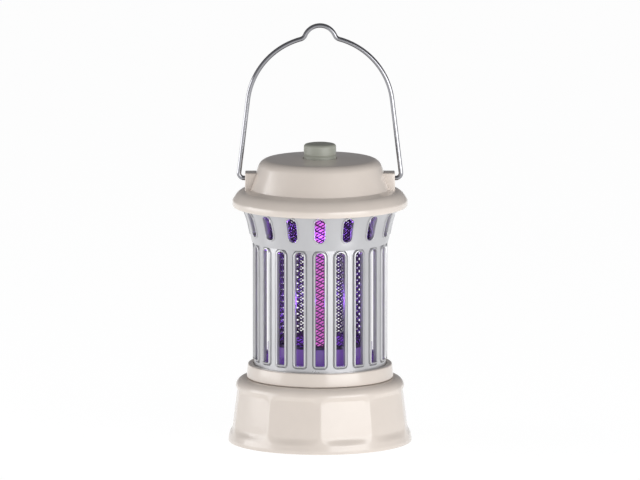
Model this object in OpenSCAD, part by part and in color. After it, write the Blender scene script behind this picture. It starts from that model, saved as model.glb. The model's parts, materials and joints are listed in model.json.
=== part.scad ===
// Rechargeable lantern-style electric bug zapper.
// The origin is the centre of the footprint on the floor, with +Z up. The front
// faces -Y, and the carrying handle swings about an axis parallel to X.

/* [Base] */
// Height of the base's shoulder above the floor
base_h = 39.1; // [34:0.1:46]
// How far the base's side stands out from the cage, just under the shoulder
base_out = 10.6; // [9:0.1:14]
// How far the foot stands out from the side at the shoulder
foot_out = 4.5; // [3:0.1:7]
// Number of shallow facets around the base
facet_count = 10; // [8:1:14]
// Depth of a facet at its middle
facet_depth = 1.6; // [1:0.1:2.5]
// Thickness of the base's walls
base_wall = 2.4; // [2:0.1:3]
// Height of the rubber feet that show below the base
foot_show = 0.5; // [0.4:0.1:1.2]
// Radius of a rubber foot
foot_pad_r = 6; // [4:0.5:7]
// Thickness of the bottom cover
cover_t = 2.4; // [2.2:0.1:3]
// Wall of the insect tray
tray_wall = 1.6; // [1.2:0.1:2]

/* [Collar and lock] */
// Height of the collar ring between the base and the cage
collar_h = 8.5; // [8:0.5:12]
// How far the collar's lower edge stands out from the cage
collar_out = 4.1; // [3.9:0.1:5]
// How much narrower the collar is at its top
collar_taper = 0.9; // [0:0.1:1.2]
// Angle of the twist that frees the base
twist_angle = 24; // [15:1:40]
// Width of a lock tab, as an angle
tab_angle = 10; // [6:1:14]
// Height of a lock tab
tab_h = 1.8; // [1.4:0.1:2.2]

/* [Cage] */
// Outer radius of the cage below its flared ring
cage_r = 40.1; // [39:0.1:50]
// Height of the cage from the collar's top to its own top face
cage_h = 97.3; // [80:0.5:120]
// Wall of the cage
cage_wall = 2.2; // [1.8:0.1:2.6]
// Height of the flared ring at the cage's top
ring_h = 23.3; // [20:0.1:26]
// Number of tall slots
slot_count = 20; // [12:2:24]
// Width of a tall slot
slot_w = 5.7; // [3:0.1:7]
// Number of oval slots in the flared ring
oval_count = 16; // [10:2:20]
// Width of an oval slot
oval_w = 6.5; // [4:0.1:8]

/* [Grids and lamp] */
// Gap between the cage's inner face and the outer grid
grid_inset = 8.4; // [6:0.1:11]
// Gap between the two grids
grid_gap = 4.5; // [3:0.1:6]
// Radius of a grid rod
rod_r = 0.5; // [0.4:0.05:0.7]
// Number of rods in the outer grid
outer_rods = 40; // [20:2:48]
// Number of rods in the inner grid
inner_rods = 30; // [16:2:40]
// Height of the lower grid carrier's band
carrier_h = 11.5; // [9:0.5:14]
// Outer radius of the lamp's cover tube
lamp_r = 9.5; // [8:0.5:14]
// Wall of the lamp's cover tube
lamp_wall = 1.2; // [1:0.1:2]
// Number of light-emitting diodes on each side of the lamp board
led_rows = 6; // [3:1:8]

/* [Top cap] */
// How far the dome's foot stands out from the cage
dome_out = 1.7; // [1:0.1:2.5]
// How much the dome narrows towards its top
dome_taper = 4.3; // [2:0.1:5]
// Height of the dome's side above the brim
dome_h = 17.9; // [16:0.1:22]
// Rise of the dome's flat top from its edge to its middle
dome_crown = 0.6; // [0.2:0.1:1]
// How far the brim stands out from the cage
brim_out = 12.5; // [11.5:0.1:16]
// Height of the brim from its lower edge to the dome
brim_h = 10.7; // [10:0.1:12]
// Thickness of the cap's walls
cap_wall = 2.2; // [1.8:0.1:2.6]

/* [Button] */
// Radius of the power button
button_r = 9.8; // [8:0.1:12]
// Height of the button above the dome
button_h = 9.5; // [6:0.1:12]
// Travel of the button
button_travel = 1.8; // [1:0.1:2.2]

/* [Handle] */
// Radius of the handle's wire
wire_r = 1.4; // [1:0.05:1.75]
// Radius of the handle's large bend
bow_r = 43.6; // [42:0.1:48]
// Height of the large bend's centre above the pivots
bow_h = 42.1; // [38:0.1:60]
// Radius of the small hump at the handle's top
hump_r = 9.7; // [6:0.1:12]
// Height of the hump's centre above the large bend's centre
hump_h = 40.6; // [38:0.1:42]
// Radius of the bend between the hump and the large bend
throat_r = 4; // [2.5:0.1:6]
// Radius of the bend between a leg and its pivot pin
leg_bend_r = 3; // [2.5:0.1:4]
// Distance from the axis to the outer face of a pivot lug
lug_out = 4.9; // [4.5:0.1:6]
// Width of a pivot lug, front to back
lug_w = 12; // [8:0.5:16]

/* [Battery and electronics] */
// Diameter of the lithium cell
cell_d = 18.3; // [14:0.1:18.6]
// Length of the lithium cell
cell_len = 50; // [40:0.5:50]
// Thickness of the circuit boards
board_t = 1.6; // [1:0.2:2]
// Width of the charging socket's shell
usb_w = 8.9; // [8:0.1:10]
// Height of the charging socket's shell
usb_h = 3.2; // [3:0.1:4]

/* [Clearances] */
// Radial clearance of the handle's pins in their lugs
pin_gap = 0.08; // [0.05:0.01:0.1]
// Gap around the button where it enters the dome
button_gap = 0.5; // [0.3:0.05:0.8]
// Gap between pieces that turn or lift past each other
part_gap = 0.3; // [0.25:0.05:0.4]
// Gap between pieces that are seated in one another
seat_gap = 0.15; // [0.1:0.05:0.2]

/* [Hidden] */
$fn = 96;
big = 200;

// Heights of the main levels
z_base0 = foot_show;
z_cover0 = z_base0 + 0.4;
z_cover1 = z_cover0 + cover_t;
z_collar0 = base_h + 0.25;
z_collar1 = base_h + collar_h;
collar_top_t = 2.1;
z_flange = z_collar1 - collar_top_t;
z_ledge = z_flange + 1.1;
z_cage1 = z_collar1 + cage_h;
z_ring0 = z_cage1 - ring_h;
cage_flange_t = 1.5;
z_plate1 = z_cage1 + 2;
brim_drop = 2;
z_cap0 = z_cage1 - brim_drop;
z_dome0 = z_cap0 + brim_h;
z_edge = z_dome0 + dome_h;
z_top = z_edge + dome_crown;
z_ceiling = z_edge - cap_wall;

// Radii of the base
base_top_r = cage_r + base_out;
foot_r = base_top_r + foot_out;
base_mid_r = base_top_r + 0.55 * foot_out;
shoulder_round = 5.5;
facet_half = 180 / facet_count;
facet_top_r = base_top_r - facet_depth + 1.2;
facet_low_r = base_mid_r - facet_depth + 0.2;
facet_top_cove = 3;
facet_low_cove = 2.5;
z_facet0 = z_base0 + 8.5;
z_facet1 = base_h - 8.1;
base_in_r = base_top_r - base_wall - 1.2;
cover_r = foot_r - 4;
cover_screw_r = (base_in_r + cage_r - 0.8) / 2;
foot_pad_pos = cover_screw_r - 0.7;
boss_r = 2.9;

// Radii of the neck, the tray and the collar
collar_r0 = cage_r + collar_out;
collar_r1 = collar_r0 - collar_taper;
groove_r = collar_r0 - 1.4;
tab_r = groove_r - part_gap - 0.1;
neck_r = tab_r - 1.1;
collar_in_r = neck_r + part_gap;
neck_wall = 2;
neck_h = z_flange - base_h - 1.4;
tray_rim_t = 1.15;
tray_r = neck_r - neck_wall - part_gap;
tab_z = base_h + neck_h - tab_h - 0.8;
tab_count = 3;

// Radii inside the cage
cage_in_r = cage_r - cage_wall;
outer_grid_r = cage_in_r - grid_inset;
inner_grid_r = outer_grid_r - grid_gap;
carrier_in_r = inner_grid_r - 1.9;
carrier_out_r = outer_grid_r + 1.9;
carrier_z0 = z_ledge + 2;
carrier_z1 = carrier_z0 + carrier_h;
upper_carrier_t = 4;
z_carrier_up = z_cage1 - upper_carrier_t;
grid_seat = 0.8;
grid_ring_h = 2.4;
spoke_count = 4;
spoke_w = 4;
spoke_h = 3;
carrier_rim_w = 2.6;
carrier_screw_r = cage_in_r - 3.4;
hub_t = 2.2;
lamp_z0 = z_ledge + spoke_h + 0.6;
lamp_z1 = z_cage1 - 4.3;
holder_r = lamp_r + 3;
holder_h = 8.3;
z_holder = z_cage1 - holder_h;
led_board_w = 1.1 * lamp_r;
led_z0 = lamp_z0 + 5;
led_z1 = lamp_z1 - 1;
led_size = 5;
led_t = 1.6;
lead_r = 0.8;
lamp_lead_x = led_board_w / 2 - 2.4;

// Flared ring of the cage
ring_step = 0.9;
ring_r0 = cage_r + ring_step;
ring_r1 = ring_r0 + 2.6;
z_ring1 = z_ring0 + 12;
ring_r2 = cage_r + 8;
oval_z0 = z_ring0 + 5;
oval_z1 = z_cage1 - 3.5;
slot_z0 = z_collar1 + 4;
slot_z1 = z_ring0 - 0.5;
cage_flange_in = cage_in_r - 1;
head_screw_pos = cage_r + 0.9;
head_plate_r = ring_r2 - 1.5;

// Radii of the top cap
dome_r = cage_r + dome_out;
dome_top_r = dome_r - dome_taper;
dome_round = 6.5;
brim_r = cage_r + brim_out;
brim_edge_h = 3.7;
brim_slope_r = dome_r + 5.1;
brim_slope_h = 1;
// Points of the brim's chamfer, as shares of its width and of its height
brim_chamfer = [[0.51, 0.7], [0.74, 0.4], [0.96, 0.1], [1, -0.07]];
button_hole_r = button_r + button_gap;
button_flange_r = button_hole_r + 1.8;
button_flange_t = 1.5;
button_wall = 1.6;

// Pivot lugs and handle
lug_r = cage_r + lug_out;
z_lug1 = z_dome0 + 10;
pivot_z = z_lug1 - 3.7;
pin_bore_r = wire_r + pin_gap;
dome_r_at_pivot = dome_r - dome_taper * (pivot_z - z_dome0) / (dome_h - dome_round);
lug_root_x = dome_r_at_pivot - 2.4;
bore_x0 = dome_r_at_pivot - cap_wall + 1.1;
pin_x0 = bore_x0 + 0.6;

// Levels inside the cap
z_board1 = z_dome0 + 7;
z_board0 = z_board1 - board_t;
board_rear = 7.6;
board_r = dome_top_r - cap_wall - 1.3;
board_boss_pos = board_r - 6.5;
board_boss_angles = [200, 270, 340];
cell_r = cell_d / 2;
holder_floor_t = 0.8;
cell_z = z_plate1 + holder_floor_t + seat_gap + cell_r;
cell_y = board_rear + 1 + cell_r;
usb_z = z_dome0 + 4.6;
usb_y0 = cell_y + cell_r + 3.6;
usb_mouth_y = dome_r - dome_taper * (usb_z - z_dome0) / (dome_h - dome_round) - 0.3;
charge_board_t = 1.2;
switch_h = 3.5;
switch_w = 6.2;
plunger_z = z_board1 + 5;
spring_r = 6;
spring_wire = 0.4;
spring_turns = 4;

// Points along an arc, from one angle to another
function arc(cx, cy, r, a0, a1, n) =
    [for (i = [0 : n]) [cx + r * cos(a0 + (a1 - a0) * i / n), cy + r * sin(a0 + (a1 - a0) * i / n)]];

// Positions and headings shared by everything that repeats around the axis
module around(count, radius, start = 0) {
    for (i = [0 : count - 1]) rotate([0, 0, start + i * 360 / count]) translate([radius, 0, 0]) children();
}

module tube(r_out, r_in, z0, z1) {
    translate([0, 0, z0])
        difference() {
            cylinder(r = r_out, h = z1 - z0);
            translate([0, 0, -1]) cylinder(r = r_in, h = z1 - z0 + 2);
        }
}

module post(r, z0, z1) {
    translate([0, 0, z0]) cylinder(r = r, h = z1 - z0, $fn = 32);
}

module slab(w, d, z0, z1) {
    translate([-w / 2, -d / 2, z0]) cube([w, d, z1 - z0]);
}

// Pan-head screw that points up, with its head's top at z_head
module screw(shank_r, head_r, head_t, z_head, z_tip) {
    post(shank_r, z_head, z_tip);
    post(head_r, z_head - head_t, z_head);
}

// ---- Base, which turns on the collar ----

function base_outline() = concat(
    [[foot_r - 0.5, z_base0], [foot_r, z_base0 + 0.5], [foot_r - 0.1, z_base0 + 2]],
    [[foot_r - 0.8, z_base0 + 5.5], [base_mid_r + 0.5, z_base0 + 9.5], [base_mid_r, z_base0 + 14]],
    arc(base_top_r - shoulder_round, base_h - shoulder_round, shoulder_round, 0, 90, 6));

// Cutter that takes one shallow facet, coved at its top and foot, off the base's side
module facet_cutter() {
    rotate([90, 0, 0])
        translate([0, 0, -foot_r / 2])
            linear_extrude(foot_r)
                union() {
                    polygon([[facet_low_r, z_facet0], [big, z_facet0], [big, z_facet1],
                        [facet_top_r, z_facet1]]);
                    translate([facet_low_r + facet_low_cove, z_facet0]) circle(facet_low_cove);
                    translate([facet_top_r + facet_top_cove, z_facet1]) circle(facet_top_cove);
                    translate([facet_low_r + facet_low_cove, z_facet0 - facet_low_cove])
                        square([big, facet_low_cove + 1]);
                    translate([facet_top_r + facet_top_cove, z_facet1 - 1])
                        square([big, facet_top_cove + 1]);
                }
}

module base_shell() {
    color("#d8cec4") {
        difference() {
            rotate_extrude()
                polygon(concat(
                    base_outline(),
                    [[neck_r, base_h], [neck_r, base_h + neck_h], [neck_r - neck_wall, base_h + neck_h],
                        [neck_r - neck_wall, base_h - base_wall], [base_in_r, base_h - base_wall],
                        [base_in_r, z_cover1], [cover_r + seat_gap, z_cover1],
                        [cover_r + seat_gap, z_base0]]));
            around(facet_count, 0, facet_half - 90) facet_cutter();
        }
        around(4, cover_screw_r, 45)
            difference() {
                post(boss_r, z_cover1, base_h - 1);
                post(1.25, z_cover1 - 1, z_cover1 + 9);
            }
        for (i = [0 : tab_count - 1])
            rotate([0, 0, 90 + i * 360 / tab_count - tab_angle / 2])
                rotate_extrude(angle = tab_angle)
                    translate([neck_r - 1, tab_z]) square([tab_r - neck_r + 1, tab_h]);
    }
}

module bottom_cover() {
    color("#cfc5bb")
        difference() {
            translate([0, 0, z_cover0]) cylinder(r = cover_r, h = cover_t);
            around(4, foot_pad_pos, 0) post(foot_pad_r + seat_gap, z_cover0 - 1, z_cover0 + 0.8);
            around(4, cover_screw_r, 45) post(3, z_cover0 - 1, z_cover0 + 1.4);
            around(4, cover_screw_r, 45) post(1.7, z_cover0 - 1, z_cover1 + 1);
        }
}

module rubber_feet() {
    color("#3a3a3a") around(4, foot_pad_pos, 0) post(foot_pad_r, 0, z_cover0 + 0.8);
}

module base_screws() {
    color("silver") around(4, cover_screw_r, 45) screw(1.25, 2.7, 1.2, z_cover0 + 1.4, z_cover1 + 8);
}

module insect_tray() {
    floor_z = z_cover1 + 1.4;
    rim_z = base_h + neck_h;
    color("#c9bfb5")
        rotate_extrude()
            polygon(concat(
                [[0, floor_z]],
                arc(tray_r - 4, floor_z + 4, 4, -90, 0, 6),
                [[tray_r, rim_z], [neck_r - 0.2, rim_z], [neck_r - 0.2, rim_z + tray_rim_t],
                    [tray_r - tray_wall, rim_z + tray_rim_t]],
                arc(tray_r - 4, floor_z + 4, 4 - tray_wall, 0, -90, 6),
                [[0, floor_z + tray_wall]]));
}

// ---- Collar, cage and grids ----

module collar_ring() {
    ledge_in = carrier_screw_r - 3.2;
    color("#d8cec4")
        difference() {
            rotate_extrude()
                polygon([[collar_in_r, z_collar0], [collar_r0 - 0.4, z_collar0],
                    [collar_r0, z_collar0 + 0.6], [collar_r1, z_collar1 - 0.6],
                    [collar_r1 - 0.6, z_collar1], [cage_r + seat_gap, z_collar1],
                    [cage_r + seat_gap, z_ledge], [ledge_in, z_ledge], [ledge_in, z_flange],
                    [collar_in_r, z_flange]]);
            // L-shaped grooves that the lock tabs enter from below and turn into
            for (i = [0 : tab_count - 1]) rotate([0, 0, 90 + i * 360 / tab_count]) {
                rotate([0, 0, -twist_angle - tab_angle / 2 - 1])
                    rotate_extrude(angle = twist_angle + tab_angle + 2)
                        translate([neck_r, tab_z - part_gap])
                            square([groove_r - neck_r, tab_h + 2 * part_gap]);
                rotate([0, 0, -twist_angle - tab_angle / 2 - 1])
                    rotate_extrude(angle = tab_angle + 2)
                        translate([neck_r, z_collar0 - 1])
                            square([groove_r - neck_r, tab_z - z_collar0 + 1]);
            }
            around(spoke_count, carrier_screw_r, 45) post(1.5, z_flange - 1, z_ledge + 1);
        }
}

module cage_slots() {
    around(slot_count, 0, -90)
        rotate([90, 0, 90])
            translate([0, 0, cage_r - 8])
                linear_extrude(16)
                    union() {
                        translate([-slot_w / 2, slot_z0]) square([slot_w, slot_z1 - slot_w / 2 - slot_z0]);
                        translate([0, slot_z1 - slot_w / 2]) circle(slot_w / 2);
                    }
}

module oval_slots() {
    around(oval_count, 0, -90)
        rotate([90, 0, 90])
            translate([0, 0, cage_r - 6])
                linear_extrude(20)
                    union() {
                        translate([-oval_w / 2, oval_z0 + oval_w / 2])
                            square([oval_w, oval_z1 - oval_z0 - oval_w]);
                        translate([0, oval_z0 + oval_w / 2]) circle(oval_w / 2);
                        translate([0, oval_z1 - oval_w / 2]) circle(oval_w / 2);
                    }
}

module cage() {
    ring_out = [[ring_r0 - 0.4, z_ring0], [ring_r0, z_ring0 + 0.5], [ring_r1, z_ring1],
        [ring_r1 + 1.6, z_ring1 + 5.2], [ring_r1 + 3.2, z_ring1 + 8.2], [ring_r2, z_cage1]];
    ring_in = [[ring_r2 - cage_wall, z_cage1 - cage_flange_t], [ring_r1 + 3.2 - cage_wall, z_ring1 + 8.2],
        [ring_r1 + 1.6 - cage_wall, z_ring1 + 5.2], [ring_r1 - cage_wall, z_ring1]];
    color("#c8cac8")
        difference() {
            rotate_extrude()
                polygon(concat(
                    [[cage_in_r, z_ledge], [cage_r, z_ledge], [cage_r, z_ring0]], ring_out,
                    [[cage_flange_in, z_cage1], [cage_flange_in, z_cage1 - cage_flange_t]], ring_in,
                    [[cage_in_r, z_ring0]]));
            cage_slots();
            oval_slots();
            around(4, head_screw_pos, 45) post(1.7, z_cage1 - 3, z_cage1 + 1);
        }
}

// Plan of the lower grid carrier's foot: rim, spokes and the hub that centres the lamp
module carrier_plan() {
    difference() {
        circle(cage_in_r - seat_gap);
        circle(cage_in_r - carrier_rim_w);
    }
    difference() {
        for (a = [45, 135]) rotate(a) square([2 * (cage_in_r - 1), spoke_w], center = true);
        circle(lamp_r + 1);
    }
    difference() {
        circle(lamp_r + hub_t);
        circle(lamp_r + seat_gap);
    }
}

module lower_grid_carrier() {
    color("#3a2a6a")
        difference() {
            union() {
                translate([0, 0, z_ledge]) linear_extrude(spoke_h) carrier_plan();
                tube(carrier_out_r, carrier_in_r, z_ledge + spoke_h - 1, carrier_z1);
                tube(lamp_r + hub_t, lamp_r + seat_gap, z_ledge + spoke_h - 1, lamp_z0 + 4);
                around(spoke_count, carrier_screw_r, 45) post(2.6, z_ledge, z_ledge + 8);
            }
            for (r = [outer_grid_r, inner_grid_r])
                tube(r + rod_r + 0.5, r - rod_r - 0.5, carrier_z1 - grid_seat, carrier_z1 + 1);
            around(spoke_count, carrier_screw_r, 45) post(1.25, z_ledge - 1, z_ledge + 7);
        }
}

module upper_grid_carrier() {
    color("#3a2a6a")
        difference() {
            tube(carrier_out_r, carrier_in_r, z_carrier_up, z_cage1);
            for (r = [outer_grid_r, inner_grid_r])
                tube(r + rod_r + 0.5, r - rod_r - 0.5, z_carrier_up - 1, z_carrier_up + grid_seat);
            hv_lead_posts(lead_r + seat_gap, z_carrier_up - 1, z_cage1 + 1);
        }
}

module rod_grid(r, count) {
    z0 = carrier_z1 - grid_seat;
    z1 = z_carrier_up + grid_seat;
    for (z = [z0, z1 - grid_ring_h]) tube(r + rod_r + 0.2, r - rod_r - 0.2, z, z + grid_ring_h);
    around(count, r, 180 / count) translate([0, 0, z0 + 1]) cylinder(r = rod_r, h = z1 - z0 - 2, $fn = 16);
}

module outer_grid() {
    color("#d9d9de") rod_grid(outer_grid_r, outer_rods);
}

module inner_grid() {
    color("#d9d9de") rod_grid(inner_grid_r, inner_rods);
}

module carrier_screws() {
    color("silver") around(spoke_count, carrier_screw_r, 45) screw(1.25, 2.5, 0.9, z_flange, z_ledge + 6.5);
}

// ---- Lamp ----

module lamp_cover() {
    color("#b060ff")
        rotate_extrude()
            polygon(concat(
                [[0, lamp_z0]],
                arc(lamp_r - 4, lamp_z0 + 4, 4, -90, 0, 6),
                [[lamp_r, lamp_z1], [lamp_r - lamp_wall, lamp_z1]],
                arc(lamp_r - 4, lamp_z0 + 4, 4 - lamp_wall, 0, -90, 6),
                [[0, lamp_z0 + lamp_wall]]));
}

module lamp_holder() {
    color("#f2f2f2")
        difference() {
            translate([0, 0, z_holder]) cylinder(r = holder_r, h = holder_h);
            translate([0, 0, z_holder - 1])
                cylinder(r = lamp_r + seat_gap, h = lamp_z1 + seat_gap - z_holder + 1);
            slab(led_board_w + 2 * seat_gap, 5.6, z_holder, z_cage1 + 1);
            around(3, lamp_r + 0.2, 30) post(1, z_cage1 - 3.6, z_cage1 + 1);
        }
}

module holder_screws() {
    color("silver")
        around(3, lamp_r + 0.2, 30) mirror([0, 0, 1]) screw(1, 2, 1.2, -z_plate1, 3.4 - z_cage1);
}

module led_board() {
    color("#e8efe8") slab(led_board_w, board_t, led_z0, led_z1);
}

module uv_leds() {
    pitch = (led_z1 - led_z0 - 16) / (led_rows - 1);
    color("#d0a0ff")
        for (i = [0 : led_rows - 1], side = [-1, 1])
            translate([0, side * (board_t + led_t) / 2, 0])
                translate([0, 0, led_z0 + 8 + i * pitch]) slab(led_size, led_t, -led_size / 2, led_size / 2);
}

module lamp_leads() {
    color("#b02020")
        for (side = [-1, 1])
            translate([side * lamp_lead_x, -board_t / 2 - lead_r, 0]) post(lead_r, led_z1 - 3, z_board0);
}

// ---- Head: plate, cap and what they hold ----

module hv_lead_posts(r, z0, z1) {
    rotate([0, 0, 228]) translate([outer_grid_r, 0, 0]) post(r, z0, z1);
    rotate([0, 0, 318]) translate([inner_grid_r, 0, 0]) post(r, z0, z1);
}

module head_plate() {
    color("#d0c8c0")
        difference() {
            translate([0, 0, z_cage1]) cylinder(r = head_plate_r, h = z_plate1 - z_cage1);
            around(4, head_screw_pos, 45) post(1.7, z_cage1 - 1, z_plate1 + 1);
            around(3, lamp_r + 0.2, 30) post(1.2, z_cage1 - 1, z_plate1 + 1);
            slab(led_board_w - 2, 5, z_cage1 - 1, z_plate1 + 1);
            hv_lead_posts(lead_r + seat_gap, z_cage1 - 1, z_plate1 + 1);
        }
}

module head_screws() {
    color("silver")
        around(4, head_screw_pos, 45) screw(1.25, 2.6, 1.4, z_cage1 - cage_flange_t, z_plate1 + 3);
}

// Outline of the cap from its middle to its brim, drawn in by t for the inner face
function cap_outline(t) = concat(
    [[0, z_top - t]],
    arc(dome_top_r - dome_round, z_edge - dome_round, dome_round - t, 84, 19, 6),
    [[dome_r - t, z_dome0 - t], [brim_slope_r - 0.4 * t, z_dome0 - brim_slope_h - t]],
    [for (p = brim_chamfer)
        [brim_slope_r - 0.4 * t + (brim_r - brim_slope_r - 0.6 * t) * p[0],
            z_cap0 + brim_edge_h + (brim_h - brim_slope_h - brim_edge_h - t) * p[1]]]);

module cap_lug(side) {
    intersection() {
        translate([0, 0, z_dome0 - 2]) cylinder(r = lug_r, h = z_lug1 - z_dome0 + 2);
        translate([side * (lug_root_x + 20), 0, 0]) slab(40, lug_w, z_dome0 - 2, z_lug1);
    }
}

module pin_bore(side) {
    translate([side * bore_x0, 0, pivot_z])
        rotate([0, side * 90, 0]) cylinder(r = pin_bore_r, h = 20, $fn = 48);
}

module top_cap() {
    color("#d8cec4")
        difference() {
            union() {
                difference() {
                    rotate_extrude()
                        polygon(concat(cap_outline(0),
                            [[brim_r, z_cap0 + 1], [brim_r - 1, z_cap0], [0, z_cap0]]));
                    rotate_extrude()
                        polygon(concat(cap_outline(cap_wall),
                            [[brim_r - cap_wall, z_cap0 - 1], [0, z_cap0 - 1]]));
                }
                for (side = [-1, 1]) cap_lug(side);
                around(4, head_screw_pos, 45)
                    difference() {
                        post(3, z_plate1, z_dome0 - brim_slope_h - 1);
                        post(1.25, z_plate1 - 1, z_plate1 + 3.5);
                    }
                for (a = board_boss_angles)
                    rotate([0, 0, a]) translate([board_boss_pos, 0, 0])
                        difference() {
                            post(2.8, z_board1, z_ceiling + 1);
                            post(1, z_board1 - 1, z_board1 + 6);
                        }
            }
            translate([0, 0, z_ceiling - 1]) cylinder(r = button_hole_r, h = 10);
            for (side = [-1, 1]) pin_bore(side);
            translate([0, dome_r, usb_z]) rotate([90, 0, 0])
                linear_extrude(12, center = true) stadium(usb_w + 2 * seat_gap, usb_h + 2 * seat_gap);
        }
}

// Flat shape with round ends, as wide as w and as high as h
module stadium(w, h) {
    square([w - h, h], center = true);
    for (side = [-1, 1]) translate([side * (w - h) / 2, 0]) circle(h / 2, $fn = 32);
}

module circuit_board() {
    color("#1f6b3a")
        translate([0, 0, z_board0])
            linear_extrude(board_t)
                difference() {
                    circle(board_r);
                    translate([-big / 2, board_rear]) square(big);
                    for (a = board_boss_angles)
                        rotate(a) translate([board_boss_pos, 0]) circle(1.2, $fn = 32);
                }
}

module board_screws() {
    color("silver")
        for (a = board_boss_angles)
            rotate([0, 0, a]) translate([board_boss_pos, 0, 0]) screw(1, 2.2, 1.3, z_board0, z_board1 + 5);
}

module hv_transformer() {
    height = z_board0 - z_plate1 - 1.6;
    color("#5a4a20") translate([-15, -14, 0]) {
        slab(14, 5, z_board0 - height, z_board0);
        slab(9, 12, z_board0 - height + 1.5, z_board0 - 1);
    }
}

module hv_capacitor() {
    color("#2a50a0") translate([14, -12, 0]) post(4.6, z_plate1 + 2, z_board0);
}

module board_parts() {
    color("#202020") {
        for (i = [-1 : 1]) translate([i * 5, -19, z_board0 - 1.3]) rotate([90, 0, 0])
            cylinder(r = 1.3, h = 5, $fn = 24);
        translate([10, -21, 0]) slab(3, 5, z_board0 - 1.2, z_board0);
        translate([13, 1, 0]) slab(5, 4, z_board1, z_board1 + 1.6);
        translate([-15, 0, 0]) slab(6, 4, z_board1, z_board1 + 2.2);
    }
}

module hv_leads() {
    color("#b02020") hv_lead_posts(lead_r, z_carrier_up + grid_seat, z_board0);
}

module battery_cell() {
    color("#3060b0")
        translate([-cell_len / 2, cell_y, cell_z]) rotate([0, 90, 0]) cylinder(r = cell_r, h = cell_len);
}

module battery_holder() {
    wall = 1.2;
    length = cell_len + 2 * (wall + seat_gap);
    color("#303030")
        difference() {
            translate([0, cell_y, 0]) {
                slab(length, 12, z_plate1, z_plate1 + 3);
                for (side = [-1, 1])
                    translate([side * (length - wall) / 2, 0, 0]) slab(wall, 12, z_plate1, cell_z + 2);
            }
            translate([-cell_len / 2 - seat_gap, cell_y, cell_z]) rotate([0, 90, 0])
                cylinder(r = cell_r + seat_gap, h = cell_len + 2 * seat_gap);
        }
}

// Lead from the holder's end wall, forward and then up to the board
module battery_leads() {
    lead_z = z_plate1 + 5;
    lead_x = cell_len / 2 + 1;
    start_y = cell_y - 6;
    bend = 2;
    end_y = 3;
    color("#b02020")
        for (side = [-1, 1]) translate([side * lead_x, 0, 0]) {
            translate([0, start_y, lead_z]) rotate([90, 0, 0])
                cylinder(r = lead_r, h = start_y - end_y - bend, $fn = 32);
            translate([0, end_y + bend, lead_z + bend]) rotate([0, -90, 0])
                rotate([0, 0, 180]) rotate_extrude(angle = 90) translate([bend, 0]) circle(lead_r, $fn = 32);
            translate([0, end_y, 0]) post(lead_r, lead_z + bend, z_board0);
        }
}

module charge_board() {
    color("#1f6b3a")
        translate([0, usb_y0 - charge_board_t / 2, 0]) slab(16, charge_board_t, z_plate1, usb_z + 5);
}

module usb_socket() {
    length = usb_mouth_y - usb_y0;
    color("#b8b8bc")
        translate([0, usb_y0 + length, usb_z]) rotate([90, 0, 0])
            difference() {
                linear_extrude(length) stadium(usb_w, usb_h);
                translate([0, 0, -1]) linear_extrude(length - 1) stadium(usb_w - 0.6, usb_h - 0.6);
            }
    color("#202020") translate([0, usb_y0 + 3, 0]) slab(6.4, 5, usb_z - 0.35, usb_z + 0.35);
}

// ---- Button ----

module tact_switch() {
    color("#202020") {
        slab(switch_w, switch_w, z_board1, z_board1 + switch_h);
        post(1.75, z_board1 + 1, plunger_z);
    }
}

// Points around one turn of the spring's wire at step i
function spring_point(i, steps, z0, z1) =
    let (a = 360 * spring_turns * i / steps, z = z0 + spring_wire + (z1 - z0 - 2 * spring_wire) * i / steps)
    [for (k = [0 : 7])
        [(spring_r + spring_wire * cos(45 * k)) * cos(a), (spring_r + spring_wire * cos(45 * k)) * sin(a),
            z + spring_wire * sin(45 * k)]];

module button_spring() {
    steps = 24 * spring_turns;
    z0 = z_board1;
    z1 = z_ceiling - seat_gap - button_flange_t;
    points = [for (i = [0 : steps]) each spring_point(i, steps, z0, z1)];
    color("silver")
        polyhedron(points, concat(
            [[for (k = [0 : 7]) k]],
            [for (i = [0 : steps - 1], k = [0 : 7])
                [8 * i + k, 8 * (i + 1) + k, 8 * (i + 1) + (k + 1) % 8, 8 * i + (k + 1) % 8]],
            [[for (k = [7 : -1 : 0]) 8 * steps + k]]));
}

module power_button() {
    z_flange1 = z_ceiling - seat_gap;
    z_flange0 = z_flange1 - button_flange_t;
    z_button1 = z_edge + button_h;
    round_r = 3;
    inner_r = button_r - button_wall;
    color("#a8a898") {
        rotate_extrude()
            polygon(concat(
                [[inner_r, z_flange0], [button_flange_r, z_flange0], [button_flange_r, z_flange1],
                    [button_r, z_flange1]],
                arc(button_r - round_r, z_button1 - round_r, round_r, 0, 90, 6),
                [[0, z_button1 + 0.3], [0, z_button1 - button_wall],
                    [inner_r, z_button1 - button_wall - 1.4]]));
        post(2.2, plunger_z + button_travel + 0.05, z_button1 - button_wall + 0.5);
    }
}

// ---- Handle: one bent wire, drawn in the X-Z plane ----

bow_z = pivot_z + bow_h;
hump_z = bow_z + hump_h;
leg_x = lug_r + 3.6;
joint_proud = 0.03;
joint_len = 0.4;
// Throat bend, tangent to the large bend and to the hump
throat_far = bow_r + throat_r;
throat_near = hump_r + throat_r;
throat_dz = (throat_far * throat_far - throat_near * throat_near + hump_h * hump_h) / (2 * hump_h);
throat_x = sqrt(throat_far * throat_far - throat_dz * throat_dz);
throat_z = bow_z + throat_dz;
bow_end_a = atan2(throat_dz, throat_x);
hump_end_a = atan2(throat_z - hump_z, throat_x);
// Leg, tangent to the large bend and to the bend above the pin
bend_x = leg_x - leg_bend_r;
bend_z = pivot_z + leg_bend_r;
leg_dx = bend_x;
leg_dz = bend_z - bow_z;
leg_dist = sqrt(leg_dx * leg_dx + leg_dz * leg_dz);
leg_a = atan2(leg_dz, leg_dx) + acos((bow_r - leg_bend_r) / leg_dist);
leg_len = sqrt(leg_dist * leg_dist - pow(bow_r - leg_bend_r, 2));

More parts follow.
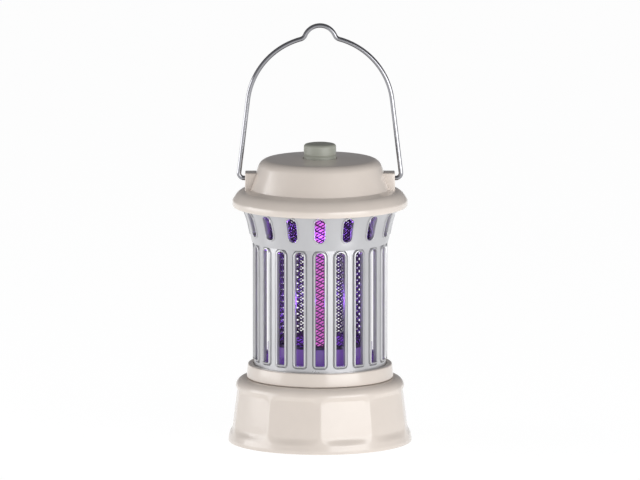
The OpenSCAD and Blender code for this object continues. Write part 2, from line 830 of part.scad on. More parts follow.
// Piece of a ring of wire in the X-Z plane
module wire_arc(x, z, r, a0, a1) {
    translate([x, 0, z]) rotate([90, 0, 0])
        rotate_extrude(angle = a1 - a0, start = a0) translate([r, 0]) circle(wire_r, $fn = 48);
}

// Short sleeve, a hair proud of the wire, where two bends of radius r meet at angle a
module wire_joint(x, z, r, a) {
    translate([x + r * cos(a), 0, z + r * sin(a)]) rotate([0, -a, 0])
        cylinder(r = wire_r + joint_proud, h = joint_len, center = true, $fn = 48);
}

module handle_half() {
    translate([pin_x0, 0, pivot_z]) rotate([0, 90, 0]) cylinder(r = wire_r, h = bend_x - pin_x0, $fn = 48);
    wire_joint(bend_x, bend_z, leg_bend_r, -90);
    wire_arc(bend_x, bend_z, leg_bend_r, -90, leg_a);
    wire_joint(bend_x, bend_z, leg_bend_r, leg_a);
    translate([bend_x + leg_bend_r * cos(leg_a), 0, bend_z + leg_bend_r * sin(leg_a)])
        rotate([0, -leg_a, 0]) cylinder(r = wire_r, h = leg_len, $fn = 48);
    wire_joint(0, bow_z, bow_r, leg_a);
    wire_arc(0, bow_z, bow_r, leg_a, bow_end_a);
    wire_joint(0, bow_z, bow_r, bow_end_a);
    wire_arc(throat_x, throat_z, throat_r, 180 + hump_end_a, 180 + bow_end_a);
    wire_joint(0, hump_z, hump_r, hump_end_a);
    wire_arc(0, hump_z, hump_r, hump_end_a, 90);
}

module handle() {
    color("#c0c0c0") {
        handle_half();
        wire_joint(0, hump_z, hump_r, 90);
        mirror([1, 0, 0]) handle_half();
    }
}

base_shell();
bottom_cover();
rubber_feet();
base_screws();
insect_tray();
collar_ring();
cage();
lower_grid_carrier();
upper_grid_carrier();
outer_grid();
inner_grid();
carrier_screws();
lamp_cover();
lamp_holder();
holder_screws();
led_board();
uv_leds();
lamp_leads();
head_plate();
head_screws();
top_cap();
circuit_board();
board_screws();
hv_transformer();
hv_capacitor();
board_parts();
hv_leads();
battery_cell();
battery_holder();
battery_leads();
charge_board();
usb_socket();
tact_switch();
button_spring();
power_button();
handle();
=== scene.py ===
"""Looks of the lantern-style bug zapper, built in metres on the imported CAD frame."""
import json
import math

import bmesh
import bpy
from mathutils import Matrix, Vector

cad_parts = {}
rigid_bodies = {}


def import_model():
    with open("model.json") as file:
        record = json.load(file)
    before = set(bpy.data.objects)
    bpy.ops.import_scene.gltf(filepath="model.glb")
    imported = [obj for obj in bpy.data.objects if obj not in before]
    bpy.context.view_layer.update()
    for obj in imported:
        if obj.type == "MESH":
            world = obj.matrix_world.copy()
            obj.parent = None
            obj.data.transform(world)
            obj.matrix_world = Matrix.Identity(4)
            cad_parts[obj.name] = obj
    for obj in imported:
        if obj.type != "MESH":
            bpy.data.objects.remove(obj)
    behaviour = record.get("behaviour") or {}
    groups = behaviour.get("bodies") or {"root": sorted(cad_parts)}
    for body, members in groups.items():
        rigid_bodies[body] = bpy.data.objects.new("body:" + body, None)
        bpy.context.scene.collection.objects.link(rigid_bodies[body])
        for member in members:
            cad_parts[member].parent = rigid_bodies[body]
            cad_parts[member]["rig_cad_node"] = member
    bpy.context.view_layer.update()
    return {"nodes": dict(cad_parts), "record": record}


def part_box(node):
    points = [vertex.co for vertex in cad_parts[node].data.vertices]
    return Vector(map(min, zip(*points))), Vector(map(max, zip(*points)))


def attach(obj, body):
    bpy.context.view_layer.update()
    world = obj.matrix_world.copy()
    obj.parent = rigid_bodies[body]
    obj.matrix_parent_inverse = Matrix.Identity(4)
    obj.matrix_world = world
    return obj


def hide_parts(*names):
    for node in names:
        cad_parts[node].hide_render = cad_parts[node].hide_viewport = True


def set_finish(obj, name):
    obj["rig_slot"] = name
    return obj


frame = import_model()

# ---- Sizes, in metres, from the frame or the design ----

MM = 0.001
FACETS = 10
SLOTS = 20
OVALS = 16
CAP_WALL = 2.2 * MM
CAGE_WALL = 2.2 * MM
# Radius of the pin-hole that a turned outline leaves on the axis
AXIS_R = 0.02 * MM

base_lo, base_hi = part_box("base_shell")
collar_lo, collar_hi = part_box("collar_ring")
cage_lo, cage_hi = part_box("cage")
cap_lo, cap_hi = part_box("top_cap")
button_lo, button_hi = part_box("power_button")
handle_lo, handle_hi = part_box("handle")
_, carrier_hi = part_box("lower_grid_carrier")
upper_lo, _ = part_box("upper_grid_carrier")
lamp_lo, lamp_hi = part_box("lamp_cover")
outer_lo, outer_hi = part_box("outer_grid")
inner_lo, inner_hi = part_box("inner_grid")
usb_lo, usb_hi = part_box("usb_socket")

BASE_TOP = collar_lo.z - 0.25 * MM
FOOT_R = min(base_hi.x, base_hi.y) - 0.01 * MM
CAGE_R = base_hi.x - 15.1 * MM
SIDE_TOP_R = CAGE_R + 10.6 * MM
SIDE_LOW_R = SIDE_TOP_R + 2.45 * MM
FACET_LOW_Z = base_lo.z + 6.9 * MM
FACET_TOP_Z = BASE_TOP - 6.2 * MM
FACET_MIDDLE_Z = 0.5 * (FACET_LOW_Z + FACET_TOP_Z)
FACET_CORNER = 6 * MM
# Widths over which a facet's edge runs out into the round side
FACET_BLEND_TOP = 2.4 * MM
FACET_BLEND_LOW = 4.5 * MM
# 0 is a round side and 1 a flat facet
FACET_FLATNESS = 0.46
SHOULDER = 5.5 * MM
RING_Z = cage_hi.z - 23.3 * MM
BRIM_R = cap_hi.x
WIRE_R = handle_hi.y
PIVOT_Z = handle_lo.z + WIRE_R

# Depths of the finest surface detail
GRAIN = 0.05 * MM
SCRATCH = 0.03 * MM


# ---- Mesh helpers ----

def add_object(name, data):
    """Links a new object to the scene."""
    thing = bpy.data.objects.new(name, data)
    bpy.context.scene.collection.objects.link(thing)
    return thing


def make_object(name, verts, faces):
    """A smooth-shaded object from points and faces."""
    mesh = bpy.data.meshes.new(name)
    mesh.from_pydata([tuple(v) for v in verts], [], faces)
    mesh.validate()
    for polygon in mesh.polygons:
        polygon.use_smooth = True
    return add_object(name, mesh)


def object_from_bmesh(name, bm, smooth=True):
    """Turns a bmesh into an object, and frees the bmesh."""
    mesh = bpy.data.meshes.new(name)
    bm.to_mesh(mesh)
    bm.free()
    for polygon in mesh.polygons:
        polygon.use_smooth = smooth
    return add_object(name, mesh)


def tidy_mesh(piece, merge=1e-6, sharp_deg=35):
    """Joins doubled points, turns the faces outward and marks the sharp edges."""
    mesh = piece.data
    bm = bmesh.new()
    bm.from_mesh(mesh)
    bmesh.ops.remove_doubles(bm, verts=bm.verts, dist=merge)
    bmesh.ops.recalc_face_normals(bm, faces=bm.faces)
    limit = math.radians(sharp_deg)
    for edge in bm.edges:
        edge.smooth = len(edge.link_faces) != 2 or edge.calc_face_angle(0) < limit
    bm.to_mesh(mesh)
    bm.free()
    return piece


def revolve(name, outline, steps, radius=None):
    """Turns a closed outline of (r, z) points about the Z axis. radius(r, z, angle) may reshape it."""
    verts = []
    for i in range(steps):
        angle = 2 * math.pi * i / steps
        for r, z in outline:
            out = radius(r, z, angle) if radius else r
            verts.append((out * math.cos(angle), out * math.sin(angle), z))
    count = len(outline)
    faces = []
    for i in range(steps):
        for k in range(count):
            a = i * count + k
            b = i * count + (k + 1) % count
            c = ((i + 1) % steps) * count + (k + 1) % count
            d = ((i + 1) % steps) * count + k
            faces.append((a, b, c, d))
    return tidy_mesh(make_object(name, verts, faces))


def arc(cx, cy, r, start, end, steps):
    """Points along an arc, in degrees."""
    points = []
    for i in range(steps + 1):
        a = math.radians(start + (end - start) * i / steps)
        points.append((cx + r * math.cos(a), cy + r * math.sin(a)))
    return points


def rounded(points, radii, steps=5):
    """A closed outline whose corners are rounded, each by its own radius."""
    result = []
    count = len(points)
    for i in range(count):
        here = Vector(points[i])
        before = Vector(points[i - 1]) - here
        after = Vector(points[(i + 1) % count]) - here
        radius = radii[i]
        if radius <= 0:
            result.append(tuple(here))
            continue
        half = before.angle(after) / 2
        reach = min(radius / math.tan(half), before.length * 0.49, after.length * 0.49)
        p0 = here + before.normalized() * reach
        p1 = here + after.normalized() * reach
        for k in range(steps + 1):
            t = k / steps
            result.append(tuple(p0.lerp(here, t).lerp(here.lerp(p1, t), t)))
    return result


def tube_along(name, points, radius, sides=8, closed=False):
    """A round wire through the points, with capped ends unless it is closed."""
    verts = []
    count = len(points)
    normal = None
    for i, point in enumerate(points):
        if closed:
            ahead = points[(i + 1) % count] - points[i - 1]
        else:
            ahead = points[min(i + 1, count - 1)] - points[max(i - 1, 0)]
        ahead.normalize()
        if normal is None:
            normal = ahead.orthogonal().normalized()
        normal = (normal - ahead * normal.dot(ahead)).normalized()
        side = ahead.cross(normal)
        for k in range(sides):
            a = 2 * math.pi * k / sides
            verts.append(point + radius * (math.cos(a) * normal + math.sin(a) * side))
    faces = []
    spans = count if closed else count - 1
    for i in range(spans):
        for k in range(sides):
            a = i * sides + k
            b = i * sides + (k + 1) % sides
            c = ((i + 1) % count) * sides + (k + 1) % sides
            d = ((i + 1) % count) * sides + k
            faces.append((a, b, c, d))
    if not closed:
        faces.append(tuple(range(sides - 1, -1, -1)))
        faces.append(tuple(range((count - 1) * sides, count * sides)))
    return make_object(name, verts, faces)


def join(name, pieces):
    """Joins objects into one that carries the given name."""
    bm = bmesh.new()
    for piece in pieces:
        bm.from_mesh(piece.data)
        mesh = piece.data
        bpy.data.objects.remove(piece)
        bpy.data.meshes.remove(mesh)
    return object_from_bmesh(name, bm)


def rounded_block(name, size, centre, bevel, segments=4):
    """A box with rounded edges."""
    bm = bmesh.new()
    bmesh.ops.create_cube(bm, size=1.0)
    bmesh.ops.scale(bm, vec=size, verts=bm.verts)
    bmesh.ops.translate(bm, vec=centre, verts=bm.verts)
    bmesh.ops.bevel(bm, geom=bm.edges[:], offset=bevel, segments=segments, affect="EDGES", profile=0.5)
    return object_from_bmesh(name, bm)


def rod(name, radius, length, turn, centre, segments=40):
    """A plain cylinder, turned by a matrix and then moved to its centre."""
    bm = bmesh.new()
    bmesh.ops.create_cone(
        bm, cap_ends=True, segments=segments, radius1=radius, radius2=radius, depth=length,
        matrix=Matrix.Translation(centre) @ turn)
    return object_from_bmesh(name, bm, smooth=False)


def cut(piece, cutter):
    """Takes the cutter's space out of the piece, and removes the cutter."""
    modifier = piece.modifiers.new("cut", "BOOLEAN")
    modifier.operation = "DIFFERENCE"
    modifier.solver = "EXACT"
    modifier.object = cutter
    bpy.context.view_layer.update()
    graph = bpy.context.evaluated_depsgraph_get()
    mesh = bpy.data.meshes.new_from_object(piece.evaluated_get(graph))
    piece.modifiers.clear()
    old = piece.data
    piece.data = mesh
    bpy.data.meshes.remove(old)
    used = cutter.data
    bpy.data.objects.remove(cutter)
    bpy.data.meshes.remove(used)
    return tidy_mesh(piece)


def place(piece, body, slot, *nodes):
    """Sets what the piece rides on, the slot it is finished from and the CAD nodes it stands for."""
    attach(piece, body)
    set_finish(piece, slot)
    if nodes:
        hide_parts(*nodes)
    return piece


# ---- Base ----

def base_radius(r, z, angle):
    """Takes the shallow facets off the base's side. They meet in ridges and have round corners."""
    margin = 2 * MM
    inner_face = SIDE_TOP_R - 3 * MM
    if r < inner_face or z < FACET_LOW_Z - margin or z > FACET_TOP_Z + margin:
        return r
    pitch = 2 * math.pi / FACETS
    # The ridges stand at the front and every pitch from there
    turn = (angle + math.pi / 2) % pitch - pitch / 2
    flat = r * (FACET_FLATNESS * math.cos(pitch / 2) / math.cos(turn) + 1 - FACET_FLATNESS)
    # Distance to the edge of a window with round corners, negative inside it
    across = abs(turn) * r - (pitch / 2 * r - FACET_CORNER)
    up = abs(z - FACET_MIDDLE_Z) - (0.5 * (FACET_TOP_Z - FACET_LOW_Z) - FACET_CORNER)
    outside = math.hypot(max(across, 0), max(up, 0)) + min(max(across, up), 0) - FACET_CORNER
    blend = FACET_BLEND_TOP if z > FACET_MIDDLE_Z else FACET_BLEND_LOW
    share = min(max(0.5 - outside / blend, 0), 1)
    share = share * share * (3 - 2 * share)
    return r + (flat - r) * (share if up > 0 else 1)


def side_radius(z):
    """Radius of the base's side before its facets are cut."""
    knots = [
        (base_lo.z + 0.4 * MM, FOOT_R), (base_lo.z + 2 * MM, FOOT_R - 0.1 * MM),
        (base_lo.z + 5.5 * MM, FOOT_R - 0.85 * MM), (base_lo.z + 9.5 * MM, SIDE_LOW_R + 0.5 * MM),
        (base_lo.z + 14 * MM, SIDE_LOW_R), (BASE_TOP - SHOULDER, SIDE_TOP_R)]
    for (z0, r0), (z1, r1) in zip(knots, knots[1:]):
        if z <= z1:
            t = (z - z0) / (z1 - z0)
            return r0 + (r1 - r0) * t
    return SIDE_TOP_R


def build_base():
    """The base's shell: foot, faceted side, shoulder, neck and the hollow inside."""
    neck_r = collar_hi.x - 2.9 * MM
    neck_in = neck_r - 2 * MM
    neck_z = BASE_TOP + 5 * MM
    ceiling_z = BASE_TOP - 2.4 * MM
    cover_r = FOOT_R - 3.85 * MM
    cavity_r = SIDE_TOP_R - 3.6 * MM
    cover_z = base_lo.z + 2.8 * MM
    edge = 0.4 * MM
    outline = arc(FOOT_R - edge, base_lo.z + edge, edge, -90, 0, 4)
    rows = 84
    z0, z1 = base_lo.z + edge, BASE_TOP - SHOULDER
    for i in range(1, rows):
        z = z0 + (z1 - z0) * i / rows
        outline.append((side_radius(z), z))
    outline += arc(SIDE_TOP_R - SHOULDER, z1, SHOULDER, 0, 90, 16)
    soft = 0.3 * MM
    outline += rounded([
        (neck_r, BASE_TOP), (neck_r, neck_z), (neck_in, neck_z), (neck_in, ceiling_z),
        (cavity_r, ceiling_z), (cavity_r, cover_z), (cover_r, cover_z), (cover_r, base_lo.z)],
        [0.4 * MM, soft, soft, 0, 0, 0, 0, soft], 2)
    piece = revolve("base_shell_visual", outline, 320, base_radius)
    return place(piece, "base", "shell_cream", "base_shell")


def build_collar():
    """The collar: a tapered ring with the ledge that the cage and the carrier stand on."""
    low_r = collar_hi.x
    top_r = collar_hi.x - 0.9 * MM
    inner = low_r - 2.6 * MM
    seat_r = CAGE_R + 0.15 * MM
    ledge_r = carrier_hi.x - 6.4 * MM
    z0, z1 = collar_lo.z, collar_hi.z
    flange, ledge = z1 - 2.1 * MM, z1 - 1.0 * MM
    outline = rounded([
        (inner, z0), (low_r, z0), (top_r, z1), (seat_r, z1), (seat_r, ledge),
        (ledge_r, ledge), (ledge_r, flange), (inner, flange)],
        [0.2 * MM, 0.7 * MM, 0.9 * MM, 0.3 * MM, 0, 0, 0, 0], 5)
    return place(revolve("collar_ring_visual", outline, 256), "lantern", "shell_cream", "collar_ring")


# ---- Cage ----

# Steps along a quarter turn and along a half turn of a slot's end
QUARTER = 6
HALF = 2 * QUARTER


def slot_loop(half_w, z0, z1, top_round, low_round, grow, side_steps):
    """Closed loop of (across, up) points round a slot, grown outward, from its right side's foot."""
    a = half_w + grow
    rt = top_round + grow
    rb = low_round + grow
    za, zb = z0 - grow, z1 + grow
    loop = []
    for i in range(side_steps + 1):
        loop.append((a, za + rb + (zb - rt - za - rb) * i / side_steps))
    for i in range(1, HALF + 1):
        t = math.radians(90 * i / QUARTER)
        cx = (a - rt) if i <= QUARTER else -(a - rt)
        loop.append((cx + rt * math.cos(t), zb - rt + rt * math.sin(t)))
    for i in range(1, side_steps + 1):
        loop.append((-a, zb - rt - (zb - rt - za - rb) * i / side_steps))
    for i in range(1, HALF):
        t = math.radians(180 + 90 * i / QUARTER)
        cx = -(a - rb) if i <= QUARTER else (a - rb)
        loop.append((cx + rb * math.cos(t), za + rb + rb * math.sin(t)))
    return loop


def cell_loop(loop, half_w, z0, z1, side_steps):
    """The cell's own edge, with one point for each point of a slot's loop."""
    edge = []
    up = loop[side_steps][1]
    down = loop[0][1]
    for i, (x, z) in enumerate(loop):
        if i <= side_steps:
            edge.append((half_w, z))
        elif i <= side_steps + HALF:
            t = (i - side_steps) / HALF * 4
            if t <= 1:
                edge.append((half_w, up + (z1 - up) * t))
            elif t <= 3:
                edge.append((half_w * (2 - t), z1))
            else:
                edge.append((-half_w, z1 - (z1 - up) * (t - 3)))
        elif i <= 2 * side_steps + HALF:
            edge.append((-half_w, z))
        else:
            t = (i - 2 * side_steps - HALF) / HALF * 4
            if t <= 1:
                edge.append((-half_w, down - (down - z0) * t))
            elif t <= 3:
                edge.append((half_w * (t - 2), z0))
            else:
                edge.append((half_w, z0 + (down - z0) * (t - 3)))
    return edge


def pierced_wall(name, count, z0, z1, slot, out_r, in_r, rim, rim_w, groove, bevel, side_steps):
    """A round wall with a slot in each of its cells, and round each slot a raised rim and a groove.

    slot is its half width, foot, top, and the radii of its top and foot corners. out_r and in_r give
    the wall's radii at a height. rim and rim_w are the rim's height and width.
    """
    weld = 2e-6
    half_w, sz0, sz1, top_round, low_round = slot
    base_r = out_r(0.5 * (z0 + z1))
    cell_half = math.pi * base_r / count

    def loop(grow):
        return slot_loop(half_w, sz0, sz1, top_round, low_round, grow, side_steps)

    wide = loop(rim_w + bevel)
    # Each ring is a loop and its height above the wall, from the cell's edge inward to the slot
    rings = [
        (cell_loop(wide, cell_half, z0, z1, side_steps), 0.0),
        (loop(rim_w + 2.6 * bevel), 0.0), (wide, -groove), (loop(rim_w + 0.3 * bevel), -groove),
        (loop(rim_w), 0.75 * rim), (loop(rim_w - 0.7 * bevel), rim), (loop(0.8 * bevel), rim),
        (loop(0.2 * bevel), 0.7 * rim), (loop(0), 0.1 * rim)]
    inside = [(loop(0), None), (loop(rim_w + bevel), None), (rings[0][0], None)]
    verts, faces = [], []
    for cell in range(count):
        middle = -math.pi / 2 + 2 * math.pi * cell / count
        first = len(verts)
        for points, lift in rings + inside:
            for x, z in points:
                angle = middle + x / base_r
                r = in_r(z) if lift is None else out_r(z) + lift
                verts.append((r * math.cos(angle), r * math.sin(angle), z))
        n = len(wide)
        for k in range(len(rings) + len(inside) - 1):
            for i in range(n):
                a = first + k * n + i
                b = first + k * n + (i + 1) % n
                faces.append((a, b, b + n, a + n))
    piece = make_object(name, verts, faces)
    bm = bmesh.new()
    bm.from_mesh(piece.data)
    bmesh.ops.remove_doubles(bm, verts=bm.verts, dist=weld)
    # Close the wall along its top and bottom edges
    borders = [e for e in bm.edges if e.is_boundary]
    for level in (z0, z1):
        edges = [e for e in borders if all(abs(v.co.z - level) < 1e-5 for v in e.verts)]
        if edges:
            bmesh.ops.bridge_loops(bm, edges=edges)
    bm.to_mesh(piece.data)
    bm.free()
    return tidy_mesh(piece, merge=weld, sharp_deg=50)


def ring_radius(z):
    """Outer radius of the flared ring."""
    rise = z - RING_Z
    bend = max(0.0, rise - 11 * MM)
    return CAGE_R + 0.9 * MM + 0.215 * rise + 13.5 * bend * bend


def build_cage():
    """The cage: the wall with tall slots, the flared ring with oval slots, and the flange on top."""
    ring_top = cage_hi.z
    overlap = 1.2 * MM
    tall = (2.65 * MM, collar_hi.z + 4 * MM, RING_Z - 1.4 * MM, 2.64 * MM, 0.5 * MM)
    lower = pierced_wall(
        "cage_lower", SLOTS, cage_lo.z, RING_Z + overlap, tall,
        lambda z: CAGE_R - 0.45 * MM, lambda z: CAGE_R - CAGE_WALL,
        rim=0.9 * MM, rim_w=1.1 * MM, groove=0.9 * MM, bevel=0.36 * MM, side_steps=16)
    oval = (3.1 * MM, RING_Z + 5 * MM, ring_top - 3.6 * MM, 3.09 * MM, 3.09 * MM)
    upper = pierced_wall(
        "cage_upper", OVALS, RING_Z, ring_top, oval,
        ring_radius, lambda z: ring_radius(z) - CAGE_WALL,
        rim=0.4 * MM, rim_w=0.8 * MM, groove=0.15 * MM, bevel=0.3 * MM, side_steps=10)
    flange_in, flange_r = CAGE_R - 3.2 * MM, cage_hi.x - 1.5 * MM
    flange_z = ring_top - 1.5 * MM
    flange = revolve("cage_flange", [
        (flange_in, flange_z), (flange_r, flange_z), (flange_r, ring_top), (flange_in, ring_top)], 128)
    return place(join("cage_visual", [lower, upper, flange]), "lantern", "cage_silver", "cage")


# ---- Grids and lamp ----

def diamond_grid(name, low, high, strands, rows, wire):
    """Two sets of bent strands that meet in diamonds, between two end rings."""
    band_h = 2.4 * MM
    half_band = 0.7 * MM
    # Share of half a pitch that a strand swings to each side, so that its neighbours' wires meet it
    reach = 0.96
    radius = high.x - half_band
    z0, z1 = low.z + 2.2 * MM, high.z - 2.2 * MM
    swing = math.pi / strands
    pieces = []
    steps = rows * 4
    for k in range(strands):
        middle = 2 * math.pi * k / strands
        path = []
        for i in range(steps + 1):
            phase = (i / 2) % 2
            side = 1 - abs(phase - 1) * 2
            if k % 2:
                side = -side
            angle = middle + reach * side * swing
            z = z0 + (z1 - z0) * i / steps
            path.append(Vector((radius * math.cos(angle), radius * math.sin(angle), z)))
        pieces.append(tube_along(f"strand_{k}", path, wire, 6))
    for z in (low.z, high.z - band_h):
        pieces.append(revolve("band", rounded([
            (radius - half_band, z), (radius + half_band, z), (radius + half_band, z + band_h),
            (radius - half_band, z + band_h)], [0.2 * MM] * 4, 2), 128))
    return join(name, pieces)


def build_grids():
    """The outer and the inner grid, of the same mesh."""
    rows, wire = 21, 0.42 * MM
    outer = diamond_grid("outer_grid_visual", outer_lo, outer_hi, 56, rows, wire)
    place(outer, "lantern", "grid_steel", "outer_grid")
    inner = diamond_grid("inner_grid_visual", inner_lo, inner_hi, 46, rows, wire)
    place(inner, "lantern", "grid_steel", "inner_grid")


def build_lamp():
    """The lamp's cover: a tube with a rounded foot."""
    r = lamp_hi.x
    z0, z1 = lamp_lo.z, lamp_hi.z
    wall, foot_round, rows = 1.2 * MM, 4 * MM, 6
    outline = [(AXIS_R, z0)] + arc(r - foot_round, z0 + foot_round, foot_round, -90, 0, 8)
    outline += [(r, z0 + (z1 - z0) * i / rows) for i in range(1, rows + 1)] + [(r - wall, z1)]
    outline += arc(r - foot_round, z0 + foot_round, foot_round - wall, 0, -90, 8)
    outline += [(AXIS_R, z0 + wall)]
    return place(revolve("lamp_cover_visual", outline, 96), "lantern", "lamp_violet", "lamp_cover")


# ---- Top cap ----

def cap_outline(t):
    """The cap's outline from its hole to its brim, drawn in by t for the inner face."""
    dome_z0 = cap_lo.z + 10.7 * MM
    edge_z = dome_z0 + 17.9 * MM
    top_z = edge_z + 0.6 * MM
    foot_r = CAGE_R + 1.7 * MM
    top_r = foot_r - 4.3 * MM
    fillet = 6.5 * MM
    points = [(button_hole_radius(), top_z - t)]
    points += arc(top_r - fillet, edge_z - fillet, fillet - t, 86, 19, 14)
    # The small cove where the dome meets the brim
    cove = ((-0.15 * MM, 0.9 * MM), (0.05 * MM, 0.3 * MM), (0.5 * MM, 0), (1.3 * MM, -0.25 * MM))
    points += [(foot_r - t + out, dome_z0 - t + up) for out, up in cove]
    plateau_w = 5.1 * MM
    slope_r = foot_r + plateau_w - 0.4 * t
    slope_z = dome_z0 - MM - t
    edge_h = 3.7 * MM
    width = BRIM_R - 0.6 * t - foot_r - plateau_w
    height = slope_z - cap_lo.z - edge_h
    # The brim's rounded chamfer, as shares of its width and of its height
    chamfer = ((0, 1), (0.2, 0.92), (0.51, 0.7), (0.74, 0.4), (0.93, 0.13), (0.985, 0.03), (1, -0.07))
    for across, up in chamfer:
        points.append((slope_r + width * across, cap_lo.z + edge_h + height * up))
    return points


def button_radius():
    return button_hi.x - 2.3 * MM


def button_hole_radius():
    return button_radius() + 0.5 * MM


def build_cap():
    """The cap: its turned shell with the inlet's hole, and the two pivot lugs."""
    rim_round = 1.1 * MM
    rim = arc(BRIM_R - rim_round, cap_lo.z + rim_round, rim_round, 0, -90, 5)
    outline = cap_outline(0) + rim + [(BRIM_R - CAP_WALL, cap_lo.z)] + cap_outline(CAP_WALL)[::-1]
    shell = revolve("cap_shell", outline, 224)
    usb_z = 0.5 * (usb_lo.z + usb_hi.z)
    hole_size = (9.3 * MM, 12 * MM, 3.6 * MM)
    hole = rounded_block("inlet", hole_size, (0, CAGE_R - 1 * MM, usb_z), 1.6 * MM, 5)
    pieces = [cut(shell, hole)]
    lug_out = CAGE_R + 4.9 * MM
    lug_in = CAGE_R - 2.9 * MM
    lug_top = cap_lo.z + 20.7 * MM
    lug_low = cap_lo.z + 8.2 * MM
    lug_size = (lug_out - lug_in, 12 * MM, lug_top - lug_low)
    bore_r, bore_length = 1.75 * MM, 3 * MM
    for side in (-1, 1):
        centre = (side * (lug_out + lug_in) / 2, 0, (lug_top + lug_low) / 2)
        lug = rounded_block("lug", lug_size, centre, 0.7 * MM, 4)
        along_x = Matrix.Rotation(math.pi / 2, 4, "Y")
        bore = rod("bore", bore_r, bore_length, along_x, (side * lug_out, 0, PIVOT_Z))
        pieces.append(cut(lug, bore))
    return place(join("top_cap_visual", pieces), "lantern", "shell_cream", "top_cap")


# ---- Button and handle ----

def build_button():
    """The button: a crowned cap with a fine groove round it, its flange, and its stem."""
    r = button_radius()
    wall = 1.6 * MM
    crown = 0.3 * MM
    soft = 0.3 * MM
    flange_r = button_hi.x
    low, top = button_lo.z, button_hi.z - crown
    flange_top = cap_lo.z + 26.85 * MM
    flange_low = flange_top - 1.5 * MM
    groove_z = cap_lo.z + 31.0 * MM
    outline = rounded([
        (r - wall, flange_low), (flange_r, flange_low), (flange_r, flange_top),
        (r, flange_top), (r, groove_z - 0.5 * MM), (r - 0.45 * MM, groove_z),
        (r - 0.05 * MM, groove_z + 0.6 * MM), (r - 0.1 * MM, top - 0.6 * MM), (r - 3.2 * MM, top),
        (AXIS_R, top + crown), (AXIS_R, top - wall), (r - wall, top - 3.0 * MM)],
        [0, soft, soft, 0, 0.2 * MM, 0.2 * MM, soft, 2.6 * MM, 1.5 * MM, 0, 0, 0.5 * MM], 5)
    shell = revolve("button_shell", outline, 128)
    stem_r, stem_top = 2.2 * MM, top - 1.2 * MM
    stem = revolve("button_stem", rounded([
        (AXIS_R, low), (stem_r, low), (stem_r, stem_top), (AXIS_R, stem_top)], [0, soft, 0, 0], 3), 32)
    return place(join("power_button_visual", [shell, stem]), "button", "button_grey", "power_button")


def wire_path():
    """The handle's centreline from its right pin, up and over to its left pin.

    Each half is a pin, a bend, a straight leg, the large bow, a throat bend and half the hump. The
    leg and the throat bend are tangent to the arcs that they join.
    """
    bow_r, bow_z = 43.6 * MM, PIVOT_Z + 42.1 * MM
    hump_r = 9.7 * MM
    hump_z = bow_z + 40.6 * MM
    throat_r, bend_r = 4 * MM, 3 * MM
    bend_x, bend_z = CAGE_R + 5.5 * MM, PIVOT_Z + bend_r
    pin_x = CAGE_R - 0.7 * MM
    far, near, rise = bow_r + throat_r, hump_r + throat_r, hump_z - bow_z
    throat_dz = (far ** 2 - near ** 2 + rise ** 2) / (2 * rise)
    throat_x = math.sqrt(far ** 2 - throat_dz ** 2)
    throat_z = bow_z + throat_dz
    bow_end = math.degrees(math.atan2(throat_dz, throat_x))
    hump_end = math.degrees(math.atan2(throat_z - hump_z, throat_x))
    dist = math.hypot(bend_x, bend_z - bow_z)
    leg = math.degrees(math.atan2(bend_z - bow_z, bend_x) + math.acos((bow_r - bend_r) / dist))
    half = [(pin_x, PIVOT_Z), (pin_x + 3 * MM, PIVOT_Z)]
    half += arc(bend_x, bend_z, bend_r, -90, leg, 14)
    half += arc(0, bow_z, bow_r, leg, bow_end, 40)
    half += arc(throat_x, throat_z, throat_r, 180 + bow_end, 180 + hump_end, 10)[1:]
    half += arc(0, hump_z, hump_r, hump_end, 90, 12)[1:]
    whole = half + [(-x, z) for x, z in reversed(half[:-1])]
    return [Vector((x, 0, z)) for x, z in whole]


def build_handle():
    """The handle's wire, without the short sleeves that stand proud of it in the CAD."""
    sleeve = 0.03 * MM
    piece = tube_along("handle_visual", wire_path(), WIRE_R - sleeve, 24)
    return place(tidy_mesh(piece), "handle", "handle_chrome", "handle")


# ---- Materials ----

def new_material(name):
    """A node material, with its nodes, links and shader at hand."""
    material = bpy.data.materials.new(name)
    material.use_nodes = True
    nodes = material.node_tree.nodes
    return material, nodes, material.node_tree.links, nodes["Principled BSDF"]


def noise(nodes, links, scale, detail=3, roughness=0.55, stretch=(1, 1, 1)):
    """A noise texture in the object's own coordinates, in cycles per metre."""
    place_node = nodes.new("ShaderNodeTexCoord")
    mapping = nodes.new("ShaderNodeMapping")
    mapping.inputs["Scale"].default_value = stretch
    texture = nodes.new("ShaderNodeTexNoise")
    texture.inputs["Scale"].default_value = scale
    texture.inputs["Detail"].default_value = detail
    texture.inputs["Roughness"].default_value = roughness
    links.new(place_node.outputs["Object"], mapping.inputs["Vector"])
    links.new(mapping.outputs["Vector"], texture.inputs["Vector"])
    return texture.outputs["Fac"]


def ramp(nodes, links, source, low, high, low_at=0.35, high_at=0.65):
    """Maps a value to a range between two colours."""
    node = nodes.new("ShaderNodeValToRGB")
    node.color_ramp.elements[0].position = low_at
    node.color_ramp.elements[0].color = (*low, 1)
    node.color_ramp.elements[1].position = high_at
    node.color_ramp.elements[1].color = (*high, 1)
    links.new(source, node.inputs["Fac"])
    return node.outputs["Color"]


def value_range(nodes, links, source, low, high, low_at=0.3, high_at=0.7):
    """Maps a value to a range between two numbers."""
    node = nodes.new("ShaderNodeMapRange")
    node.inputs["From Min"].default_value = low_at
    node.inputs["From Max"].default_value = high_at
    node.inputs["To Min"].default_value = low
    node.inputs["To Max"].default_value = high
    links.new(source, node.inputs["Value"])
    return node.outputs["Result"]


def bump(nodes, links, shader, source, strength, distance):
    """Raises the surface by a value."""
    node = nodes.new("ShaderNodeBump")
    node.inputs["Strength"].default_value = strength
    node.inputs["Distance"].default_value = distance
    links.new(source, node.inputs["Height"])
    links.new(node.outputs["Normal"], shader.inputs["Normal"])


